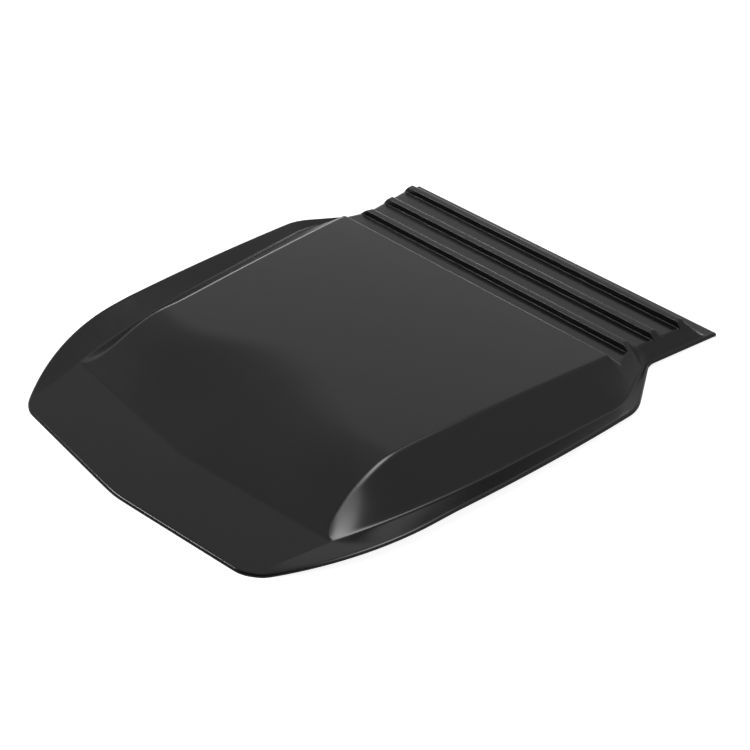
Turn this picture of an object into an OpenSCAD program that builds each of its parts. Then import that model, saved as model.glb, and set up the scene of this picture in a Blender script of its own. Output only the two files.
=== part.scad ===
// Bonnet scoop: one thin moulded shell, hollow below and open at the bottom.
// X runs across the car, Y runs back from the nose and Z is up.
// The origin lies under the middle of the part, on the plane that its edges rest on.
// Distances called "back" are measured along Y from the tip of the nose.

/* [Sheet] */
// Thickness of the moulded sheet
sheet = 3; // [2:0.5:4]
// Inner radius of the bend from the flange into its downturned lip
bend_r = 1.5; // [1:0.5:3]
// Straight part of the lip below that bend
lip = 1; // [0.5:0.5:6]

/* [Outline] */
// Length from the nose to the rear edge
length = 955; // [935:1:985]
// Width between the outer edges at the widest place
width = 791; // [760:1:830]
// Distance back to the widest place
widest_at = 650; // [600:5:680]
// Radius of each long side edge, seen from above
side_r = 3900; // [3000:100:9000]
// Distance back to where the front shoulders begin to curve in
shoulder_at = 270; // [230:5:300]
// Radius of the front shoulders
shoulder_r = 410; // [340:5:600]
// Angle at which each half of the nose sweeps back
nose_sweep = 5.7; // [3:0.1:9]
// Length over which the nose point is rounded
nose_round = 12; // [5:1:40]
// Length over which each front corner is rounded
corner_soft = 20; // [10:1:30]
// Distance back to the narrowest place, where the tail begins
tail_at = 800; // [785:1:810]
// Width between the outer edges where the tail begins
tail_w = 654; // [640:1:670]
// Angle at which each tail edge flares out towards the rear
tail_flare = 6.8; // [3:0.2:9]
// Angle at which each outer edge cuts in towards the tail
cut_in = 31.8; // [27:0.2:36]
// Softness of the outer edge where it turns in
turn_soft = 14; // [6:1:24]
// Softness of the outer edge where it meets the tail
waist_soft = 8; // [4:1:14]

/* [Flange] */
// Height of the outer edge at its highest place
crest_h = 29.8; // [24:0.2:36]
// Distance back to the highest place of the outer edge
crest_at = 310; // [280:5:340]
// Radius at which the outer edge falls towards the front corners, seen from the side
crest_r = 1445; // [1300:5:1800]
// Angle at which the outer edge falls towards the rear
crest_fall = 1.86; // [1.4:0.02:2]
// Height of the flange where the walls rise from it
foot_h = 11; // [9:0.5:13]
// Depth of the front flange
nose_depth = 122; // [105:1:140]
// Width of each side flange
side_flange = 27.5; // [22:0.5:36]
// Distance back to where that width is measured
flange_at = 676; // [650:1:690]
// Angle at which each foot line widens towards the rear
foot_spread = 4.9; // [4:0.1:6]
// Distance back to where each foot line straightens
foot_turn_at = 435; // [400:5:470]
// Radius of each foot line ahead of that place
foot_r = 1543; // [1200:20:2400]
// Angle of the fold in the flange between the foot of the ramp and each front corner
fold = 13.3; // [10:0.1:16]
// Width of each flange beside the tail
tail_flange = 7.4; // [6.4:0.1:12]
// Angle at which each foot line cuts in towards the tail
foot_cut_in = 23.4; // [20:0.2:26]
// Softness of the foot lines where they turn in
foot_soft = 14; // [6:1:20]
// Softness of the foot lines where they meet the tail
foot_waist = 3; // [2:0.5:6]

/* [Body] */
// Height of the top panel behind the ramp
top_h = 63; // [56:0.5:70]
// Distance back to where that height is measured
top_at = 377; // [350:1:400]
// Angle at which the top panel falls towards the rear
top_fall = 1.03; // [0.5:0.01:1.4]
// Radius of the top panel, seen from the side
crown_r = 10000; // [7500:500:20000]
// Distance back to the crease at the end of the top panel
crease_at = 725; // [715:1:730]
// Width of the top panel at the crease
top_w = 604; // [585:1:615]
// Angle at which each ridge of the top panel widens towards the rear
ridge_spread = 5.56; // [4:0.1:7]
// Length of the ramp along the middle
ramp_mid = 170; // [140:1:190]
// Length of the ramp at its sides
ramp_side = 105; // [90:1:130]
// Distance across from the middle at which the ramp has its side length
ramp_flat = 220; // [180:5:250]
// Softness of the bend between the ramp and the top panel
ramp_soft = 26; // [12:1:32]
// Lean of the walls beside the tail, from level
wall_lean = 62; // [56:0.5:64]
// Length over which each wall steepens ahead of the tail
wall_turn = 17; // [10:1:24]
// Lean of each wall at the corner where the foot of the ramp meets it, from level
corner_lean = 9; // [6:1:14]
// Length over which each wall straightens up behind that corner
corner_len = 95; // [75:5:110]
// Angle at which the top of each wall cuts in behind the crease
ridge_cut_in = 13; // [8:1:16]
// Radius of the ridges and of the upper edges of the tail
ridge_r = 5; // [3:0.5:7]
// Softness of the edges between the rear drop and the walls
rear_soft = 9; // [6:0.5:12]
// Radius of the crease at the foot of the walls
crease_r = 3; // [2:0.5:5]

/* [Louvres] */
// Number of cross ribs on the tail
ribs = 3; // [2:1:3]
// Distance back to the foot of the first rib
rib_at = 770; // [766:1:774]
// Spacing of the ribs
rib_pitch = 58.8; // [52:0.2:60]
// Height of a rib above the land ahead of it
rib_h = 10.8; // [8:0.2:13]
// Length of the flat top of a rib, from its foot to its back edge
rib_top = 13; // [11:0.5:16]
// Length over which each end of a rib rounds down to the wall
rib_end = 14; // [9:0.5:15]
// Inner radius of the rib edges and of the crease
rib_bend = 0.5; // [0.4:0.1:1.6]
// Draft of the front face of a rib
rib_draft = 6; // [3:0.5:10]
// Height of the land behind the crease
land_h = 36.3; // [34:0.1:39]
// Angle at which the lands fall towards the rear
land_fall = 1.5; // [0.5:0.1:2]
// Slope of the drops behind the crease and the ribs
back_slope = 48; // [44:0.5:56]
// Slope of the drop to the rear flange
rear_slope = 51; // [46:0.5:56]
// Radius in the corner between a land and the rib behind it
root_r = 1.1; // [0.6:0.1:2]

/* [Hidden] */
// Outer radius of the bend into the lip
edge_r = sheet + bend_r;
// Height of the front edge, whose lip reaches down to the resting plane
edge_h = edge_r + lip;
// Outer radius of the rib edges and of the crease
rib_r = sheet + rib_bend;
// Length of side lip that deepens into the rear lip
lip_turn = 6;
// Share of the corner's length over which the wall settles to its own lean
corner_settle = 0.35;
// Smallest gap between two sections of the surface
step = 0.4;
// Half width of the top panel at the crease
ridge_half = top_w / 2;
// Half width of the body's foot where the side flange is measured
foot_half = width / 2 - side_flange;
// Distance back to the corner where the ramp, the wall and the flange meet
ramp_foot_at = nose_depth + tan(nose_sweep) * side_foot_w(nose_depth);

// Smaller and larger of two heights, with the meeting line rounded over k
function soft_min(a, b, k) = min(a, b) - pow(max(k - abs(a - b), 0), 2) / (4 * k);
function soft_max(a, b, k) = -soft_min(-a, -b, k);

// Value on the way from a to b, by a share that is kept between 0 and 1
function between(a, b, share) = a + (b - a) * min(1, max(0, share));

// How far the swept nose lies behind its tip, at x across
function sweep(x) = tan(nose_sweep) * (sqrt(x * x + nose_round * nose_round) - nose_round);

// Half width of the outer edge at a distance back
function side_edge_w(q) = width / 2 - pow(widest_at - q, 2) / (2 * side_r)
  - (q < shoulder_at ? shoulder_r - sqrt(pow(shoulder_r, 2) - pow(shoulder_at - q, 2)) : 0);
function tail_edge_w(q) = tail_w / 2 + tan(tail_flare) * (q - tail_at);
function cut_edge_w(q) = tail_w / 2 - tan(cut_in) * (q - tail_at);
function edge_w(q) = q < foot_turn_at
  ? side_edge_w(q)
  : soft_max(soft_min(side_edge_w(q), cut_edge_w(q), turn_soft), tail_edge_w(q), waist_soft);

// Half width of the foot line, where the body rises from the flange
function side_foot_w(q) = foot_half + tan(foot_spread) * (q - flange_at)
  - (q < foot_turn_at ? pow(foot_turn_at - q, 2) / (2 * foot_r) : 0);
function tail_foot_w(q) = tail_edge_w(q) - tail_flange;
function cut_foot_w(q) = tail_foot_w(tail_at) - tan(foot_cut_in) * (q - tail_at);
function foot_w(q) = q < ramp_foot_at
  ? side_foot_w(ramp_foot_at) - tan(fold) * (ramp_foot_at - q)
  : q < foot_turn_at
  ? side_foot_w(q)
  : soft_max(soft_min(side_foot_w(q), cut_foot_w(q), foot_soft), tail_foot_w(q), foot_waist);

// Extra height that a sheet takes up when it rises at a slope
function slanted(depth, rise) = depth * sqrt(1 + rise * rise);

// Height of the outer edge and of the foot line
function edge_z(q) = max(edge_h, q < crest_at
  ? crest_h - pow(crest_at - q, 2) / (2 * crest_r)
  : crest_h - tan(crest_fall) * (q - crest_at));
function foot_z(q) = soft_min(foot_h, edge_z(max(q, crest_at)) - bend_r / 2, bend_r);

// Height of the flange: level at the nose, and rising outward at the sides.
// Depth 0 gives the outer surface, and depth sheet gives the inner one.
function nose_z(x, q) = min(edge_h + (foot_h - edge_h) * (q - sweep(x)) / nose_depth, foot_z(q));
function flange_run(q) = max(edge_w(q) - foot_w(q), step);
function flange_z(x, q, depth) =
  let (z = nose_z(x, q), run = flange_run(q), rise = (edge_z(q) - z) / run)
  x < foot_w(q) ? z - depth : z + rise * min(x - foot_w(q), run) - slanted(depth, rise);

// Height of the top panel and of the lands between the ribs
function top_z(q) = top_h - tan(top_fall) * (q - top_at) - pow(q - top_at, 2) / (2 * crown_r);
function land_z(q) = land_h - tan(land_fall) * (q - crease_at);

// Rounded corner, as points, between a line that falls at angle a and one that falls at angle b
function bend(q, z, a, b) =
  let (t = rib_r * tan((b - a) / 2))
  [for (i = [0 : 2]) let (g = a + (b - a) * i / 2)
    [q - t * cos(a) + rib_r * (sin(g) - sin(a)), z + t * sin(a) - rib_r * (cos(a) - cos(g))]];

// Foot of a drop from height z at distance q down to the land
function drop_end(q, z) =
  let (e = q + (z - land_z(q)) / (tan(back_slope) - tan(land_fall))) [e, land_z(e)];

// Section of one rib: root, front edge, back edge and the drop behind it
function rib_line(q, last) =
  let (
    z = land_z(q),
    peak = z + rib_h,
    rise = (rib_h - rib_r) * tan(rib_draft) + rib_r / cos(rib_draft)
  )
  concat(
    [[q - root_r, land_z(q - root_r)], [q + root_r * tan(rib_draft), z + root_r]],
    [for (i = [0 : 2]) let (g = 180 - rib_draft - (90 - rib_draft) * i / 2)
      [q + rise + rib_r * cos(g), peak - rib_r + rib_r * sin(g)]],
    bend(q + rib_top, peak, 0, last ? rear_slope : back_slope),
    [last ? [q + rib_top + peak / tan(rear_slope), 0] : drop_end(q + rib_top, peak)]
  );

// Section of the tail along its middle, from the crease to the rear flange
panel_end_slope = atan(tan(top_fall) + (crease_at - top_at) / crown_r);
first_land = drop_end(crease_at, top_z(crease_at));
tail_line = concat(
  bend(crease_at, top_z(crease_at), panel_end_slope, back_slope),
  [first_land],
  [for (i = [0 : ribs - 1]) each rib_line(rib_at + i * rib_pitch, i == ribs - 1)]
);
tail_start = tail_line[0][0];
tail_end = tail_line[len(tail_line) - 1][0];
rear_foot_at = tail_end - foot_z(tail_end) / tan(rear_slope);
last_rib_at = rib_at + (ribs - 1) * rib_pitch;

// The same section one sheet further in, moved square to each of its sides
function side_normal(i) =
  let (d = i < 0 ? [cos(panel_end_slope), -sin(panel_end_slope)] : tail_line[i + 1] - tail_line[i])
  [-d[1], d[0]] / norm(d);
inner_line = [for (i = [0 : len(tail_line) - 1])
  let (a = side_normal(i - 1), b = side_normal(min(i, len(tail_line) - 2)))
  tail_line[i] - sheet * (a + b) / (1 + a * b)];

// Height of the body without its walls
function spine_z(q, depth) =
  let (line = depth > 0 ? inner_line : tail_line)
  q < line[0][0] ? top_z(q) - depth : q > line[len(line) - 1][0] ? -depth : lookup(q, line);
function ramp_len(x) =
  ramp_side + (ramp_mid - ramp_side) * (1 + cos(180 * min(1, x / ramp_flat))) / 2;
function ramp_z(x, q, depth) =
  let (rise = (top_h - foot_h) / ramp_len(x))
  foot_h + (q - sweep(x) - nose_depth) * rise - slanted(depth, rise);

// Half width of the wall's top edge, and rise of the wall: it leans right back at the corner of
// the ramp, straightens up behind it and steepens to its full lean at the tail
function ridge_w(q) = ridge_half + tan(q < crease_at ? ridge_spread : -ridge_cut_in) * (q - crease_at);
function side_rise(q) = min(
  tan(wall_lean),
  (top_z(min(q, crease_at)) - foot_z(q)) / max(foot_w(q) - ridge_w(q), step)
);
function wall_rise(q) = q < foot_turn_at
  ? between(
      tan(corner_lean), side_rise(q), soft_min((q - ramp_foot_at) / corner_len, 1, corner_settle)
    )
  : between(side_rise(q), tan(wall_lean), 1 - (tail_at - q) / wall_turn);
function wall_z(x, q, depth) = foot_z(q) + (foot_w(q) - x) * wall_rise(q) - slanted(depth, wall_rise(q));

// Share of a rib's height that is left towards its end, where the wall reaches the land
function land_w(q) = foot_w(q) - (land_z(q) - foot_z(q)) / wall_rise(q);
function rib_share(x, q, depth) = 1 - pow(between(0, 1, 1 - (land_w(q) - depth - x) / rib_end), 2);

// Height of the ramp and the top panel, or of the tail with its rounded rib ends
function tail_z(x, q, depth) =
  let (z = spine_z(q, depth), land = land_z(q) - depth)
  q > first_land[0] && z > land ? land + (z - land) * rib_share(x, q, depth) : z;
function roof_z(x, q, depth) = q < tail_start - ramp_mid
  ? soft_min(spine_z(q, depth), ramp_z(x, q, depth), ramp_soft)
  : tail_z(x, q, depth);

// Softness that gives a radius where a wall meets a surface with another rise
function soft_for(r, rise, other) = r * pow(rise - other, 2) / (2 * norm([1, rise]));

// Softness of the wall's upper edge, which grows at the rear drop, and of the crease at its foot
function edge_soft(q) =
  between(soft_for(ridge_r, wall_rise(q), 0), rear_soft, (q - last_rib_at) / rib_top);
function crease_soft(q) =
  soft_for(crease_r, wall_rise(q), -max(0, edge_z(q) - foot_z(q)) / flange_run(q));

// Height of the outer surface, or of the inner one
function surface_z(x, q, depth) = soft_max(
  flange_z(x, q, depth),
  soft_min(roof_z(x, q, depth), wall_z(x, q, depth), edge_soft(q)),
  crease_soft(q)
);

// A section starts at distance v on the middle line and sweeps back with the nose
function section_q(v, x) = v
  + sweep(x) * min(1, max(0, (top_at - v) / (top_at - nose_depth - ramp_side)));

// Half width of the surface inside the bend of the lip, and where a section reaches it
function edge_lean(q) = (edge_w(q + step) - edge_w(q - step)) / (2 * step);
function inset_w(q) = edge_w(q) - slanted(edge_r, edge_lean(q));
function corner_cut(v) = pow(max(0, sqrt(corner_soft) - sqrt(v - edge_r)), 2);
function reach(v, x, n) =
  n == 0 ? x : reach(v, inset_w(section_q(v, x)) - corner_cut(v), n - 1);

// Place across a section, between a and b, where the wall comes down through the roof
function crossing(v, a, b, depth, n) =
  let (x = (a + b) / 2, q = section_q(v, x))
  n == 0 ? x : roof_z(x, q, depth) < wall_z(x, q, depth)
    ? crossing(v, x, b, depth, n - 1)
    : crossing(v, a, x, depth, n - 1);

// Places across a half section: the top, the rib's end, the ridge, the wall, the foot and the flange
function places(v, depth) =
  let (
    end = reach(v, width / 3, 8),
    q = section_q(v, end),
    rise = wall_rise(q),
    foot = min(foot_w(q), end - step) - (slanted(depth, rise) - depth) / rise,
    crease = min(crease_r * rise / norm([1, rise]), (end - foot) / 2),
    ridge = min(crossing(v, 0, foot, depth, 14), foot - 3 * crease),
    round = min(edge_soft(q) / rise, (foot - ridge) / 3)
  )
  concat(
    [for (t = [0, 0.08, 0.3, 0.62, 1]) (ridge - rib_end) * t],
    [ridge - rib_end / 2, ridge - round, ridge, ridge + round],
    [(ridge + round + foot - crease) / 2, foot - crease, foot, foot + crease],
    [(foot + crease + end) / 2, end]
  );

// Distances along the middle line at which sections are drawn, on the outer and inner surface
turn_at = tail_at - (width - tail_w) / 2 / tan(cut_in);
ramp_end = nose_depth + 1.4 * ramp_mid;
function spaced(a, b, n) = [for (i = [1 : n]) a + (b - a) * i / n];
function alike(a) = [for (v = a) [v, v]];
function sorted(a) = len(a) < 2 ? a :
  let (m = a[floor(len(a) / 2)])
  concat(
    sorted([for (v = a) if (v[0] < m[0] - step) v]),
    [m],
    sorted([for (v = a) if (v[0] > m[0] + step) v])
  );
sections = sorted(concat(
  alike([for (t = [0, 0.3, 0.6, 1]) edge_r + corner_soft * t * t]),
  alike(spaced(edge_r + corner_soft, nose_depth - 2 * crease_r, 5)),
  alike(spaced(nose_depth - 2 * crease_r, nose_depth + 2 * crease_r, 2)),
  alike(spaced(nose_depth + 2 * crease_r, ramp_end, 17)),
  alike(spaced(ramp_end, turn_at - 2 * turn_soft, 6)),
  alike(spaced(turn_at - 2 * turn_soft, tail_start - 2 * rib_r, 4)),
  [for (i = [0 : len(tail_line) - 2]) [tail_line[i][0], inner_line[i][0]]],
  alike(spaced(first_land[0], rib_at - 2 * rib_r, 3)),
  alike([for (i = [1 : ribs - 1]) rib_at + i * rib_pitch - (rib_pitch - rib_top) / 4]),
  [for (i = [-1 : 1]) let (v = rear_foot_at + crease_r * i) [v, v - sheet * tan(rear_slope / 2)]],
  alike(spaced(rear_foot_at + crease_r, length - edge_r, 2))
));

// The outer surface and the inner one, as rows of points from left to right
function mirrored(a) = concat([for (i = [len(a) - 1 : -1 : 1]) -a[i]], a);
function rows(depth) = [for (s = sections)
  let (v = depth > 0 ? s[1] : s[0])
  [for (x = mirrored(places(v, depth)))
    let (q = section_q(v, abs(x))) [x, q - length / 2, surface_z(abs(x), q, depth)]]];
outer = rows(0);
inner = rows(sheet);
last_row = len(outer) - 1;
last_col = len(outer[0]) - 1;

// The border of the surface, as [row, column] pairs, counter-clockwise from the front left
border = concat(
  [for (c = [0 : last_col]) [0, c]],
  [for (r = [1 : last_row]) [r, last_col]],
  [for (c = [last_col - 1 : -1 : 0]) [last_row, c]],
  [for (r = [last_row - 1 : -1 : 1]) [r, 0]]
);
count = len(border);
function border_point(i) = let (b = border[(i + count) % count]) outer[b[0]][b[1]];
function square_to(d) = [d[1], -d[0]] / norm([d[0], d[1]]);
function outward(i) =
  let (
    p = border_point(i),
    n = square_to(p - border_point(i - 1)) + square_to(border_point(i + 1) - p)
  )
  n / norm(n);

// One ring round the border, out from it by a distance, and either below the rim or on the lip's base
function lip_base(z, q) = max(0, z - edge_h) * min(1, max(0, (length - q) / lip_turn));
function ring(out, below, based) = [for (i = [0 : count - 1])
  let (
    p = border_point(i),
    n = outward(i),
    rim = p + edge_r * [n[0], n[1], 0],
    q = min(length, rim[1] + length / 2),
    z = surface_z(abs(rim[0]), q, 0)
  )
  [p[0] + out * n[0], p[1] + out * n[1], based ? lip_base(z, q) : z - below]];
rings = [
  ring(edge_r * sin(45), edge_r * (1 - cos(45)), false),
  ring(edge_r, edge_r, false),
  ring(edge_r, 0, true),
  ring(bend_r, 0, true),
  ring(bend_r, edge_r, false)
];

// Numbers of the points, and the triangles between four of them or between two rings
grid_size = (last_row + 1) * (last_col + 1);
function at(r, c) = r * (last_col + 1) + c;
function patch(a, b, c, d) = [[a, b, c], [a, c, d]];
function panel(r, c, base, turned) =
  let (
    near = base + at(r, c), near_right = near + 1,
    far = base + at(r + 1, c), far_right = far + 1,
    left = c < last_col / 2
  )
  turned
    ? left ? patch(near, near_right, far_right, far) : patch(near_right, far_right, far, near)
    : left ? patch(near, far, far_right, near_right) : patch(near_right, near, far, far_right);
function strip(u, w) = [for (i = [0 : count - 1]) let (j = (i + 1) % count)
  each patch(u[i], u[j], w[j], w[i])];
loops = concat(
  [[for (b = border) at(b[0], b[1])]],
  [for (k = [0 : len(rings) - 1]) [for (i = [0 : count - 1]) 2 * grid_size + k * count + i]],
  [[for (b = border) grid_size + at(b[0], b[1])]]
);

module scoop_shell() {
  color("#1c1c1e")
    polyhedron(
      points = [each each outer, each each inner, each each rings],
      faces = [
        for (r = [0 : last_row - 1]) for (c = [0 : last_col - 1]) each panel(r, c, 0, false),
        for (r = [0 : last_row - 1]) for (c = [0 : last_col - 1]) each panel(r, c, grid_size, true),
        for (k = [0 : len(loops) - 2]) each strip(loops[k], loops[k + 1])
      ]
    );
}

scoop_shell();
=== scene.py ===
"""Bonnet scoop: the looks of one moulded black shell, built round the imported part.

Distances called "back" are measured in millimetres from the tip of the nose, and heights from the
plane that the part rests on. X runs across, Y runs back and the origin is under the middle.
"""

import logging
import math
from bisect import bisect_right
from dataclasses import dataclass, field
from enum import Enum, unique

import bmesh
import bpy
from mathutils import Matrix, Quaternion, Vector

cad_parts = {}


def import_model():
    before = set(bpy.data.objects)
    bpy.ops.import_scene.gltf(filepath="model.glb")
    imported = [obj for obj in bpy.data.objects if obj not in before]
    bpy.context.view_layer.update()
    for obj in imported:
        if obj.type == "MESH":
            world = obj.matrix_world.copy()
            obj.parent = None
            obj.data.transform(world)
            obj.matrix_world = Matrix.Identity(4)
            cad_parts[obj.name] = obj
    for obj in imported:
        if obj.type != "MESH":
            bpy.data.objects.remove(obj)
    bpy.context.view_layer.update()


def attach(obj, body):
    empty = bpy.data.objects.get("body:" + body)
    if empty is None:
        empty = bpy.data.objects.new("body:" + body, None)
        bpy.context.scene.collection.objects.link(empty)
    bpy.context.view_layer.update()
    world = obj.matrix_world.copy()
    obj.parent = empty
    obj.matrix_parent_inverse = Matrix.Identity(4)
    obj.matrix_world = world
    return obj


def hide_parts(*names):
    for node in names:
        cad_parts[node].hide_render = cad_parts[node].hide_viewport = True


LOG = logging.getLogger("bonnet_scoop")
MM = 0.001
LEAST_RUN = 0.4


def soft_min(a: float, b: float, k: float) -> float:
    """Returns the smaller of two values, with the meeting line rounded over k."""
    d = max(k - abs(a - b), 0.0)
    return min(a, b) - d * d / (4 * k)


def soft_max(a: float, b: float, k: float) -> float:
    """Returns the larger of two values, with the meeting line rounded over k."""
    return -soft_min(-a, -b, k)


def between(a: float, b: float, share: float) -> float:
    """Returns the value on the way from a to b, by a share that is kept between 0 and 1."""
    return a + (b - a) * min(1.0, max(0.0, share))


def tan(degrees: float) -> float:
    """Returns the tangent of an angle in degrees."""
    return math.tan(math.radians(degrees))


def steps(start: float, end: float, count: int) -> list[float]:
    """Returns evenly spaced values after start, up to and with end."""
    return [start + (end - start) * i / count for i in range(1, count + 1)]


@dataclass
class Outline:
    """The plan of the shell: its outer edge and the foot line of its body."""

    length: float = 955
    width: float = 791
    widest_at: float = 650
    side_r: float = 3900
    shoulder_at: float = 270
    shoulder_r: float = 410
    nose_tan: float = tan(5.7)
    nose_round: float = 12
    corner_soft: float = 20
    nose_depth: float = 122
    tail_at: float = 800
    tail_w: float = 654
    tail_flare: float = tan(6.8)
    cut_in: float = tan(31.8)
    turn_soft: float = 14
    waist_soft: float = 8
    side_flange: float = 27.5
    flange_at: float = 676
    foot_spread: float = tan(4.9)
    foot_turn_at: float = 435
    foot_r: float = 1543
    fold: float = tan(13.3)
    tail_flange: float = 7.4
    foot_cut_in: float = tan(23.4)
    foot_soft: float = 14
    foot_waist: float = 3
    edge_r: float = 4.5
    lean_step: float = 0.5

    def sweep(self, x: float) -> float:
        """Returns how far the swept nose lies behind its tip, at x across."""
        return self.nose_tan * (math.hypot(x, self.nose_round) - self.nose_round)

    def edge_w(self, q: float) -> float:
        """Returns the half width of the outer edge at a distance back."""
        w = self.width / 2 - (self.widest_at - q) ** 2 / (2 * self.side_r)
        if q < self.shoulder_at:
            w -= self.shoulder_r - math.sqrt(self.shoulder_r**2 - (self.shoulder_at - q) ** 2)
        if q < self.foot_turn_at:
            return w
        cut = self.tail_w / 2 - self.cut_in * (q - self.tail_at)
        tail = self.tail_w / 2 + self.tail_flare * (q - self.tail_at)
        return soft_max(soft_min(w, cut, self.turn_soft), tail, self.waist_soft)

    def side_foot_w(self, q: float) -> float:
        """Returns the half width of the foot line beside the top panel."""
        w = self.width / 2 - self.side_flange + self.foot_spread * (q - self.flange_at)
        if q < self.foot_turn_at:
            w -= (self.foot_turn_at - q) ** 2 / (2 * self.foot_r)
        return w

    def corner_at(self) -> float:
        """Returns the distance back of the body's front corners."""
        return self.nose_depth + self.nose_tan * self.side_foot_w(self.nose_depth)

    def foot_w(self, q: float) -> float:
        """Returns the half width of the foot line at a distance back."""
        corner = self.corner_at()
        if q < corner:
            return self.side_foot_w(corner) - self.fold * (corner - q)
        if q < self.foot_turn_at:
            return self.side_foot_w(q)
        start = self.tail_w / 2 - self.tail_flange
        tail = start + self.tail_flare * (q - self.tail_at)
        cut = start - self.foot_cut_in * (q - self.tail_at)
        return soft_max(soft_min(self.side_foot_w(q), cut, self.foot_soft), tail, self.foot_waist)

    def inset_w(self, q: float) -> float:
        """Returns the half width of the surface inside the bend of the lip."""
        step = self.lean_step
        lean = (self.edge_w(q + step) - self.edge_w(q - step)) / (2 * step)
        return self.edge_w(q) - self.edge_r * math.hypot(1, lean)


@dataclass
class Louvres:
    """The section of the tail along its middle: a drop, lands and cross ribs."""

    crease_at: float = 725
    land_h: float = 36.3
    land_fall: float = tan(1.5)
    ribs: int = 3
    rib_at: float = 770
    rib_pitch: float = 58.8
    rib_h: float = 10.8
    rib_top: float = 13
    rib_end: float = 14
    rib_r: float = 3.5
    edge_r: float = 2
    rib_draft: float = 6
    root_r: float = 1.1
    foot_r: float = 2.5
    back_slope: float = 48
    rear_slope: float = 51
    arc_steps: int = 7
    root_steps: int = 4
    points: list[tuple[float, float]] = field(default_factory=list)
    first_land: float = 0

    def land_z(self, q: float) -> float:
        """Returns the height of the lands between the ribs."""
        return self.land_h - self.land_fall * (q - self.crease_at)

    def arc(self, q: float, z: float, r: float, start: float, end: float, count: int) -> None:
        """Adds points of an arc.

        Args:
            q: Distance back to its centre.
            z: Height of its centre.
            r: Its radius.
            start: First angle, in degrees from +Y.
            end: Last angle.
            count: Number of steps.
        """
        for i in range(count + 1):
            a = math.radians(start + (end - start) * i / count)
            self.points.append((q + r * math.cos(a), z + r * math.sin(a)))

    def bend(self, q: float, z: float, a: float, b: float) -> None:
        """Adds a rounded corner between a line that falls at angle a and one that falls at b."""
        t = self.rib_r * tan((b - a) / 2)
        ca, sa = math.cos(math.radians(a)), math.sin(math.radians(a))
        centre = (q - t * ca - self.rib_r * sa, z + t * sa - self.rib_r * ca)
        self.arc(*centre, self.rib_r, 90 - a, 90 - b, self.arc_steps)

    def drop(self, q: float, z: float) -> None:
        """Adds the rounded foot of a drop from height z down to the land."""
        r = self.foot_r
        end = q + (z - self.land_z(q)) / (tan(self.back_slope) - self.land_fall)
        a, b = math.radians(self.back_slope), math.atan(self.land_fall)
        t = r * math.tan((a - b) / 2)
        centre = (end + t * math.cos(b) + r * math.sin(b), self.land_z(end + t) + r)
        self.arc(*centre, r, 270 - self.back_slope, 270, self.arc_steps)

    def trace(self, top: float, fall: float) -> None:
        """Lists the section's points.

        Args:
            top: Height of the top panel at the crease.
            fall: Angle at which the panel falls there.
        """
        root, edge = self.root_r, self.edge_r
        draft = math.radians(self.rib_draft)
        rise = (self.rib_h - edge) * math.tan(draft) + edge / math.cos(draft)
        self.points.clear()
        self.bend(self.crease_at, top, fall, self.back_slope)
        self.drop(self.crease_at, top)
        self.first_land = self.points[-1][0]
        for i in range(self.ribs):
            q = self.rib_at + i * self.rib_pitch
            z = self.land_z(q)
            peak = z + self.rib_h
            last = i == self.ribs - 1
            self.arc(q - root, z + root, root, 270, 360 - self.rib_draft, self.root_steps)
            self.arc(q + rise, peak - edge, edge, 180 - self.rib_draft, 90, self.arc_steps)
            self.bend(q + self.rib_top, peak, 0, self.rear_slope if last else self.back_slope)
            if last:
                self.points.append((q + self.rib_top + peak / tan(self.rear_slope), 0.0))
            else:
                self.drop(q + self.rib_top, peak)

    def height(self, q: float) -> float:
        """Returns the height of the section at a distance back."""
        i = bisect_right(self.points, (q, math.inf))
        if i >= len(self.points):
            return 0.0
        (qa, za), (qb, zb) = self.points[max(i - 1, 0)], self.points[i]
        return za + (zb - za) * (q - qa) / max(qb - qa, 1e-6)


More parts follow.
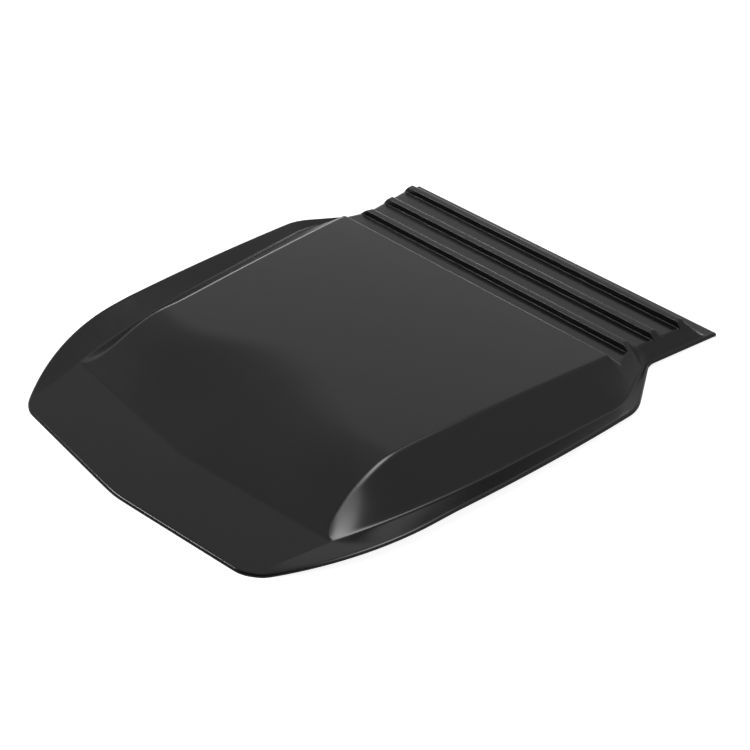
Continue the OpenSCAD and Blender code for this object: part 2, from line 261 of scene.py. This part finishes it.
@dataclass
class Form:
    """The heights of the shell's outer surface."""

    plan: Outline = field(default_factory=Outline)
    louvres: Louvres = field(default_factory=Louvres)
    edge_h: float = 5.5
    crest_h: float = 29.8
    crest_at: float = 310
    crest_r: float = 1445
    crest_fall: float = tan(1.86)
    foot_h: float = 11
    foot_below: float = 0.75
    foot_soft: float = 1.5
    top_h: float = 63
    top_at: float = 377
    top_fall: float = tan(1.03)
    crown_r: float = 10000
    top_w: float = 604
    top_front_w: float = 528
    top_turn: float = 2
    ridge_spread: float = tan(5.56)
    ramp_mid: float = 170
    ramp_side: float = 105
    ramp_flat: float = 220
    ramp_soft: float = 26
    wall_lean: float = tan(62)
    wall_turn: float = 17
    corner_lean: float = tan(9)
    corner_len: float = 115
    corner_settle: float = 0.35
    ridge_cut_in: float = tan(13)
    ridge_r: float = 15
    rear_soft: float = 9
    crease_r: float = 8

    def __post_init__(self) -> None:
        """Traces the louvres from the end of the top panel."""
        crease = self.louvres.crease_at
        fall = self.top_fall + (crease - self.top_at) / self.crown_r
        self.louvres.trace(self.top_z(crease), math.degrees(math.atan(fall)))

    def edge_z(self, q: float) -> float:
        """Returns the height of the outer edge."""
        if q < self.crest_at:
            return max(self.edge_h, self.crest_h - (self.crest_at - q) ** 2 / (2 * self.crest_r))
        return max(self.edge_h, self.crest_h - self.crest_fall * (q - self.crest_at))

    def foot_z(self, q: float) -> float:
        """Returns the height of the foot line."""
        edge = self.edge_z(max(q, self.crest_at))
        return soft_min(self.foot_h, edge - self.foot_below, self.foot_soft)

    def flange_z(self, x: float, q: float) -> float:
        """Returns the height of the flange, which rises outward at the sides."""
        plan = self.plan
        v = q - plan.sweep(x)
        level = self.edge_h + (self.foot_h - self.edge_h) * v / plan.nose_depth
        level = min(level, self.foot_z(q))
        foot = plan.foot_w(q)
        if x < foot:
            return level
        share = (x - foot) / max(plan.edge_w(q) - foot, LEAST_RUN)
        return level + (self.edge_z(q) - level) * min(share, 1.0)

    def top_z(self, q: float) -> float:
        """Returns the height of the top panel."""
        d = q - self.top_at
        return self.top_h - self.top_fall * d - d * d / (2 * self.crown_r)

    def side_rise(self, q: float) -> float:
        """Returns the slope of the side walls, apart from their turns at both ends."""
        crease = self.louvres.crease_at
        spread = self.ridge_spread if q < crease else -self.ridge_cut_in
        side = self.top_w / 2 + spread * (q - crease)
        ridge = soft_max(side, self.top_front_w / 2, self.top_turn)
        run = max(self.plan.foot_w(q) - ridge, LEAST_RUN)
        return min(self.wall_lean, (self.top_z(min(q, crease)) - self.foot_z(q)) / run)

    def wall_rise(self, q: float) -> float:
        """Returns the slope of the side walls."""
        plan, rise = self.plan, self.side_rise(q)
        if q < plan.foot_turn_at:
            share = soft_min((q - plan.corner_at()) / self.corner_len, 1, self.corner_settle)
            return between(self.corner_lean, rise, share)
        return between(rise, self.wall_lean, 1 - (plan.tail_at - q) / self.wall_turn)

    def wall_z(self, x: float, q: float) -> float:
        """Returns the height of the side wall, extended upwards."""
        return self.foot_z(q) + (self.plan.foot_w(q) - x) * self.wall_rise(q)

    def rib_share(self, x: float, q: float) -> float:
        """Returns the share of a rib's height that is left towards its rounded end."""
        lou = self.louvres
        edge = self.plan.foot_w(q) - (lou.land_z(q) - self.foot_z(q)) / self.wall_rise(q)
        return 1 - between(0, 1, 1 - (edge - x) / lou.rib_end) ** 2

    def roof_z(self, x: float, q: float) -> float:
        """Returns the height of the ramp, the top panel and the louvres, without the walls."""
        lou = self.louvres
        start = lou.points[0][0]
        z = self.top_z(q) if q < start else lou.height(q)
        land = lou.land_z(q)
        if q > start - self.ramp_mid:
            if q > lou.first_land and z > land:
                return land + (z - land) * self.rib_share(x, q)
            return z
        turn = (1 + math.cos(math.pi * min(1.0, x / self.ramp_flat))) / 2
        length = self.ramp_side + (self.ramp_mid - self.ramp_side) * turn
        v = q - self.plan.sweep(x) - self.plan.nose_depth
        return soft_min(z, self.foot_h + v * (self.top_h - self.foot_h) / length, self.ramp_soft)

    def soft_for(self, r: float, q: float, other: float) -> float:
        """Returns the softness that rounds the wall by r where it meets another slope."""
        rise = self.wall_rise(q)
        return r * (rise - other) ** 2 / (2 * math.hypot(1, rise))

    def edge_soft(self, q: float) -> float:
        """Returns the softness of the edge between the roof and the wall."""
        lou = self.louvres
        last_rib = lou.rib_at + (lou.ribs - 1) * lou.rib_pitch
        share = (q - last_rib) / lou.rib_top
        return between(self.soft_for(self.ridge_r, q, 0), self.rear_soft, share)

    def crease_soft(self, q: float) -> float:
        """Returns the softness of the crease at the foot of the wall."""
        run = max(self.plan.edge_w(q) - self.plan.foot_w(q), LEAST_RUN)
        flange = max(0.0, self.edge_z(q) - self.foot_z(q)) / run
        return self.soft_for(self.crease_r, q, -flange)

    def height(self, x: float, q: float) -> float:
        """Returns the height of the outer surface.

        Args:
            x: Distance across from the middle.
            q: Distance back.

        Returns:
            The height in millimetres.
        """
        x = abs(x)
        body = soft_min(self.roof_z(x, q), self.wall_z(x, q), self.edge_soft(q))
        return soft_max(self.flange_z(x, q), body, self.crease_soft(q))


@unique
class Band(Enum):
    """The bands of a half section, with the number of mesh columns in each.

    Each number is used once, because an equal one would be a second name of the same band.
    """

    TOP = 20
    END = 13
    RIDGE = 9
    WALL = 10
    FOOT = 8
    FLANGE = 12


def add_object(name: str, data: bpy.types.ID) -> bpy.types.Object:
    """Returns a new object with the data given, linked to the scene."""
    made = bpy.data.objects.new(name, data)
    bpy.context.scene.collection.objects.link(made)
    return made


def add_mesh(name: str, bm: bmesh.types.BMesh) -> bpy.types.Object:
    """Returns a new mesh object, and frees the working mesh that it is made from."""
    mesh = bpy.data.meshes.new(name)
    bm.to_mesh(mesh)
    bm.free()
    return add_object(name, mesh)


@dataclass
class ScoopShell:
    """The moulded shell, from its outer surface to the underside of its sheet."""

    form: Form = field(default_factory=Form)
    sheet: float = 3
    lip_turn: float = 6
    bend_steps: int = 5
    edge_margin: float = 1.3
    end_margin: float = 1.2
    reach_rounds: int = 8
    crossing_rounds: int = 20
    nose_rows: int = 8
    least_gap: float = 0.05

    def section_q(self, v: float, x: float) -> float:
        """Returns the distance back of a section that starts at v on the middle line."""
        form, plan = self.form, self.form.plan
        fade = (form.top_at - v) / (form.top_at - plan.nose_depth - form.ramp_side)
        return v + plan.sweep(x) * min(1.0, max(0.0, fade))

    def reach(self, v: float) -> float:
        """Returns the half width at which a section meets the bend of the lip."""
        plan = self.form.plan
        corner = max(0.0, math.sqrt(plan.corner_soft) - math.sqrt(max(v - plan.edge_r, 0.0))) ** 2
        x = plan.width / 3
        for _ in range(self.reach_rounds):
            x = plan.inset_w(self.section_q(v, x)) - corner
        return x

    def crossing(self, v: float, foot: float) -> float:
        """Returns the place across a section where the wall comes down through the roof."""
        near, far = 0.0, foot
        for _ in range(self.crossing_rounds):
            x = (near + far) / 2
            q = self.section_q(v, x)
            if self.form.roof_z(x, q) < self.form.wall_z(x, q):
                near = x
            else:
                far = x
        return near

    def columns(self, v: float) -> list[float]:
        """Returns the distances across of a half section's points, from the middle out."""
        form, margin = self.form, self.edge_margin
        end = self.reach(v)
        q = self.section_q(v, end)
        rise = form.wall_rise(q)
        foot = min(form.plan.foot_w(q), end - LEAST_RUN)
        crease = min(margin * form.crease_r * rise / math.hypot(1, rise), (end - foot) / 2)
        ridge = min(self.crossing(v, foot), foot - 3 * crease)
        bend = min(margin * form.edge_soft(q) / rise, (foot - ridge) / 3)
        marks = {
            Band.TOP: ridge - max(self.end_margin * form.louvres.rib_end, bend + 1),
            Band.END: ridge - bend,
            Band.RIDGE: ridge + bend,
            Band.WALL: foot - crease,
            Band.FOOT: foot + crease,
            Band.FLANGE: end,
        }
        places = [0.0]
        for band, mark in marks.items():
            places += steps(places[-1], mark, band.value)
        return places

    def sections(self) -> list[float]:
        """Returns the distances along the middle line at which the surface has a row of points.

        Rows are close together over the front corner, the foot of the ramp and the louvres' arcs.
        """
        form, plan, louvres = self.form, self.form.plan, self.form.louvres
        foot = plan.nose_depth
        ramp = foot + 1.4 * form.ramp_mid
        turn = plan.tail_at - (plan.width - plan.tail_w) / 2 / plan.cut_in
        line = louvres.points
        rear = line[-1][0] - form.foot_z(line[-1][0]) / tan(louvres.rear_slope)
        shares = [i / self.nose_rows for i in range(self.nose_rows + 1)]
        rows = [plan.edge_r + plan.corner_soft * share**2 for share in shares]
        start = plan.edge_r + plan.corner_soft
        stretches = (
            (foot - 8, 9),
            (foot + 12, 8),
            (ramp, 34),
            (turn - 30, 20),
            (line[0][0] - 1, 12),
        )
        for end, count in stretches:
            rows += steps(start, end, count)
            start = end
        rows += [q for q, _ in line[:-1]]
        rows += steps(louvres.crease_at + 16, louvres.rib_at - 4, 5)
        for i in range(louvres.ribs):
            back = louvres.rib_at + i * louvres.rib_pitch + louvres.rib_top
            rows += steps(back + 3, back + 7, 2)
            if i < louvres.ribs - 1:
                rows += steps(back + 14, back + louvres.rib_pitch - louvres.rib_top - 4, 4)
        rows += steps(rear - 10, rear + 8, 9)
        rows += steps(rear + 8, plan.length - plan.edge_r, 4)
        kept: list[float] = []
        for v in sorted(rows):
            if not kept or v > kept[-1] + self.least_gap:
                kept.append(v)
        return kept

    def surface(self, bm: bmesh.types.BMesh) -> None:
        """Makes the outer surface from a flat grid, whose points move onto the form."""
        plan = self.form.plan
        rows = self.sections()
        half = sum(band.value for band in Band)
        last = len(rows) - 1
        bmesh.ops.create_grid(bm, x_segments=2 * half, y_segments=last, size=1.0)
        places = [self.columns(v) for v in rows]
        for vert in bm.verts:
            column = round(vert.co.x * half)
            row = round((vert.co.y + 1) / 2 * last)
            x = math.copysign(places[row][abs(column)], column)
            q = self.section_q(rows[row], abs(x))
            vert.co = Vector((x, q - plan.length / 2, self.form.height(x, q))) * MM

    def lip(self, bm: bmesh.types.BMesh) -> None:
        """Bends the border down into the lip, by extruding it in short steps."""
        form, plan = self.form, self.form.plan
        border = [edge for edge in bm.edges if edge.is_boundary]
        out: dict[bmesh.types.BMVert, Vector] = {}
        for edge in border:
            a, b = edge.verts
            middle = edge.link_faces[0].calc_center_median()
            n = Vector((a.co.y - b.co.y, b.co.x - a.co.x, 0)).normalized()
            if n.dot((a.co + b.co) / 2 - middle) < 0:
                n.negate()
            for vert in edge.verts:
                out[vert] = out.get(vert, Vector()) + n
        paths: dict[bmesh.types.BMVert, list[Vector]] = {}
        for vert, n in out.items():
            n.normalize()
            rim = vert.co / MM + n * plan.edge_r
            q = min(plan.length, rim.y + plan.length / 2)
            top = form.height(rim.x, q)
            slope = math.atan((top - vert.co.z / MM) / plan.edge_r)
            r = plan.edge_r / (1 + math.sin(slope))
            centre = vert.co / MM + n * r * math.sin(slope) - Vector((0, 0, r * math.cos(slope)))
            deepen = min(1.0, max(0.0, (plan.length - q) / self.lip_turn))
            base = max(0.0, top - form.edge_h) * deepen
            path = []
            for i in range(1, self.bend_steps + 1):
                g = -slope + (math.pi / 2 + slope) * i / self.bend_steps
                path.append(centre + (n * math.sin(g) + Vector((0, 0, math.cos(g)))) * r)
            path.append(Vector((*path[-1].xy, base)))
            paths[vert] = path
        ring = border
        for i in range(self.bend_steps + 1):
            made = bmesh.ops.extrude_edge_only(bm, edges=ring)["geom"]
            fresh = [item for item in made if isinstance(item, bmesh.types.BMVert)]
            ring = [e for e in made if isinstance(e, bmesh.types.BMEdge) and e.is_boundary]
            moved: dict[bmesh.types.BMVert, list[Vector]] = {}
            for vert in fresh:
                ends = (edge.other_vert(vert) for edge in vert.link_edges)
                old = next(end for end in ends if end in paths)
                vert.co = paths[old][i] * MM
                moved[vert] = paths[old]
            paths = moved

    def build(self) -> bpy.types.Object:
        """Builds the shell's object.

        Returns:
            The shell, at the origin, with its sheet thickness as a modifier.
        """
        bm = bmesh.new()
        self.surface(bm)
        self.lip(bm)
        bmesh.ops.recalc_face_normals(bm, faces=bm.faces)
        if sum(face.normal.z for face in bm.faces) < 0:
            bmesh.ops.reverse_faces(bm, faces=bm.faces)
        for face in bm.faces:
            face.smooth = True
        shell = add_mesh("shell", bm)
        wall = shell.modifiers.new("sheet", "SOLIDIFY")
        wall.thickness = self.sheet * MM
        wall.offset = -1
        wall.use_even_offset = True
        wall.use_quality_normals = True
        return shell


def linear(code: str) -> tuple[float, float, float, float]:
    """Turns an sRGB hex colour into linear red, green, blue and alpha."""
    parts = [int(code[i : i + 2], 16) / 255 for i in (1, 3, 5)]
    return (*[c / 12.92 if c <= 0.04045 else ((c + 0.055) / 1.055) ** 2.4 for c in parts], 1.0)


def add_node(
    tree: bpy.types.NodeTree, kind: str, settings: dict | None = None, **links: object
) -> bpy.types.Node:
    """Adds a node with its settings and links.

    Args:
        tree: The node tree.
        kind: The node's type name.
        settings: Node properties, or input values by socket name.
        **links: Source sockets by input name, with underscores for spaces.

    Returns:
        The new node.
    """
    node = tree.nodes.new(kind)
    for key, value in (settings or {}).items():
        if key in node.inputs:
            node.inputs[key].default_value = value
        else:
            setattr(node, key, value)
    for key, socket in links.items():
        tree.links.new(socket, node.inputs[key.replace("_", " ")])
    return node


def clear_tree(owner: bpy.types.Material | bpy.types.World) -> bpy.types.NodeTree:
    """Turns on the nodes of a material or a world, and returns its emptied tree."""
    owner.use_nodes = True
    owner.node_tree.nodes.clear()
    return owner.node_tree


@dataclass(frozen=True)
class MouldedAbs:
    """Black ABS, pressed over a smooth tool: a satin skin with a faint uneven sheen."""

    name: str = "black_abs_moulded"
    colour: str = "#0a0a0a"
    roughness: float = 0.2
    roughness_spread: float = 0.03
    ior: float = 1.54
    ripple_mm: float = 22
    ripple_height: float = 0.00004

    def material(self) -> bpy.types.Material:
        """Returns the material."""
        mat = bpy.data.materials.new(self.name)
        tree = clear_tree(mat)
        place = add_node(tree, "ShaderNodeTexCoord").outputs["Object"]
        ripple = add_node(
            tree,
            "ShaderNodeTexNoise",
            {"Scale": 1 / (self.ripple_mm * MM), "Detail": 2.0, "Roughness": 0.5},
            Vector=place,
        )
        bump = add_node(
            tree,
            "ShaderNodeBump",
            {"Strength": 1.0, "Distance": self.ripple_height},
            Height=ripple.outputs["Fac"],
        )
        sheen = add_node(
            tree,
            "ShaderNodeMapRange",
            {
                "To Min": self.roughness - self.roughness_spread,
                "To Max": self.roughness + self.roughness_spread,
            },
            Value=ripple.outputs["Fac"],
        )
        shader = add_node(
            tree,
            "ShaderNodeBsdfPrincipled",
            {"Base Color": linear(self.colour), "IOR": self.ior},
            Roughness=sheen.outputs["Result"],
            Normal=bump.outputs["Normal"],
        )
        add_node(tree, "ShaderNodeOutputMaterial", None, Surface=shader.outputs["BSDF"])
        return mat


@dataclass(frozen=True)
class StudioFloor:
    """A matt pale floor that the camera sees as white, with the part's soft shadow."""

    name: str = "studio_floor"
    colour: str = "#b4b4b4"
    glow: float = 0.9
    half_size: float = 6.0

    def material(self) -> bpy.types.Material:
        """Returns the material: paint, with a glow that only the camera sees."""
        mat = bpy.data.materials.new(self.name)
        tree = clear_tree(mat)
        seen = add_node(tree, "ShaderNodeLightPath").outputs["Is Camera Ray"]
        paint = add_node(tree, "ShaderNodeBsdfDiffuse", {"Color": linear(self.colour)})
        strength = add_node(tree, "ShaderNodeMapRange", {"To Max": self.glow}, Value=seen)
        glow = add_node(tree, "ShaderNodeEmission", None, Strength=strength.outputs["Result"])
        both = add_node(tree, "ShaderNodeAddShader")
        tree.links.new(paint.outputs["BSDF"], both.inputs[0])
        tree.links.new(glow.outputs["Emission"], both.inputs[1])
        add_node(tree, "ShaderNodeOutputMaterial", None, Surface=both.outputs["Shader"])
        return mat

    def build(self) -> None:
        """Lays the floor on the plane that the part rests on."""
        bm = bmesh.new()
        bmesh.ops.create_grid(bm, x_segments=1, y_segments=1, size=self.half_size)
        floor = add_mesh("floor", bm)
        floor.data.materials.append(self.material())


@dataclass(frozen=True)
class Softbox:
    """One soft rectangular lamp, whose radiance is the level seen in a mirror."""

    name: str
    place: tuple[float, float, float]
    aim: tuple[float, float, float]
    size: tuple[float, float]
    radiance: float
    turn: float = 0

    def build(self) -> None:
        """Hangs the lamp, turned towards its aim."""
        data = bpy.data.lights.new(self.name, "AREA")
        data.shape = "RECTANGLE"
        data.size, data.size_y = self.size
        data.energy = self.radiance * math.pi * self.size[0] * self.size[1]
        lamp = add_object(self.name, data)
        lamp.location = self.place
        back = Vector(self.place) - Vector(self.aim)
        spin = Quaternion((0, 0, 1), math.radians(self.turn))
        lamp.rotation_euler = (back.to_track_quat("Z", "Y") @ spin).to_euler()


@dataclass(frozen=True)
class CeilingStrip:
    """A long lamp overhead that fades towards its edges, made of nested panels.

    Panels at one height would not add up, so each hangs a little above the one before.
    """

    middle: tuple[float, float, float] = (0.23, 0.32, 2.0)
    turn: float = -40.5
    start: float = -1.1
    end: float = 2.5
    width: float = 0.8
    panels: int = 8
    radiance: float = 6.5
    gap: float = 0.01
    end_fade: float = 0.6
    narrowing: float = 0.5

    def build(self) -> None:
        """Hangs the panels, which are shorter and narrower the higher they hang."""
        x, y, z = self.middle
        run = math.radians(self.turn)
        for i in range(self.panels):
            share = (i + 0.5) / self.panels
            start = self.start * math.sqrt(1 - share)
            end = self.end * (1 - share**self.end_fade)
            s = (start + end) / 2
            at = (x + s * math.cos(run), y + s * math.sin(run))
            size = (end - start, self.width * (1 - self.narrowing * share))
            level = self.radiance / self.panels
            place = (*at, z + self.gap * i)
            Softbox(f"strip_{i}", place, (*at, 0.0), size, level, self.turn).build()


@dataclass
class Studio:
    """The floor, the lamps, the plain surroundings and the camera.

    The surroundings have the level "surround", and the level "front" in the directions whose Y
    is under front_from. In between, they pass from one to the other.
    """

    surround: float = 0.42
    front: float = 0.04
    front_from: float = -0.7
    front_to: float = -0.3
    camera_place: tuple[float, float, float] = (1.5505, -1.4344, 1.4688)
    camera_back: tuple[float, float, float] = (0.5930, -0.5622, 0.5764)
    focal_px: float = 1616.05
    frame_px: float = 750
    sensor_mm: float = 36
    clip_end: float = 50
    lamps: tuple[Softbox, ...] = (
        Softbox("back_left_wide", (-1.8, 2.3, 1.75), (0.0, 0.1, 0.1), (2.8, 1.5), 0.14),
        Softbox("back_left_low", (-2.65, 2.4, 0.5), (0.0, 0.1, 0.1), (2.8, 0.8), 2.6),
        Softbox("back_low", (-0.6, 3.0, 0.4), (0.0, 0.3, 0.0), (2.5, 0.6), 1.2),
        Softbox("front_left", (-3.4, -3.3, 3.4), (0.0, 0.0, 0.0), (2.4, 0.5), 25.0),
    )

    def world(self) -> None:
        """Sets grey surroundings, dark in front, that the camera sees as white."""
        world = bpy.data.worlds.new("surroundings")
        bpy.context.scene.world = world
        tree = clear_tree(world)
        way = add_node(tree, "ShaderNodeTexCoord").outputs["Generated"]
        side = add_node(tree, "ShaderNodeSeparateXYZ", None, Vector=way)
        grey = add_node(
            tree,
            "ShaderNodeMapRange",
            {
                "From Min": self.front_from,
                "From Max": self.front_to,
                "To Min": self.front,
                "To Max": self.surround,
            },
            Value=side.outputs["Y"],
        )
        seen = add_node(tree, "ShaderNodeLightPath").outputs["Is Camera Ray"]
        strength = add_node(tree, "ShaderNodeMath", {"operation": "MAXIMUM"})
        tree.links.new(grey.outputs["Result"], strength.inputs[0])
        tree.links.new(seen, strength.inputs[1])
        sky = add_node(
            tree,
            "ShaderNodeBackground",
            {"Color": linear("#ffffff")},
            Strength=strength.outputs["Value"],
        )
        add_node(tree, "ShaderNodeOutputWorld", None, Surface=sky.outputs["Background"])

    def camera(self) -> None:
        """Places the camera at the photograph's angle, distance and field of view."""
        data = bpy.data.cameras.new("camera")
        data.sensor_fit = "HORIZONTAL"
        data.sensor_width = self.sensor_mm
        data.lens = self.focal_px / self.frame_px * self.sensor_mm
        data.clip_end = self.clip_end
        camera = add_object("camera", data)
        camera.location = self.camera_place
        camera.rotation_euler = Vector(self.camera_back).to_track_quat("Z", "Y").to_euler()
        bpy.context.scene.camera = camera

    def build(self) -> None:
        """Builds the studio."""
        self.camera()
        self.world()
        StudioFloor().build()
        CeilingStrip().build()
        for lamp in self.lamps:
            lamp.build()
        bpy.context.scene.view_settings.view_transform = "Standard"


def main() -> None:
    """Builds the studio and the shell."""
    logging.basicConfig(level=logging.INFO, format="%(name)s: %(message)s")
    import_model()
    Studio().build()
    LOG.info("studio built")
    shell = ScoopShell().build()
    shell.data.materials.append(MouldedAbs().material())
    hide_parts("scoop_shell")
    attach(shell, "root")
    LOG.info("%s: %d faces before its sheet", shell.name, len(shell.data.polygons))


if __name__ == "__main__":
    main()
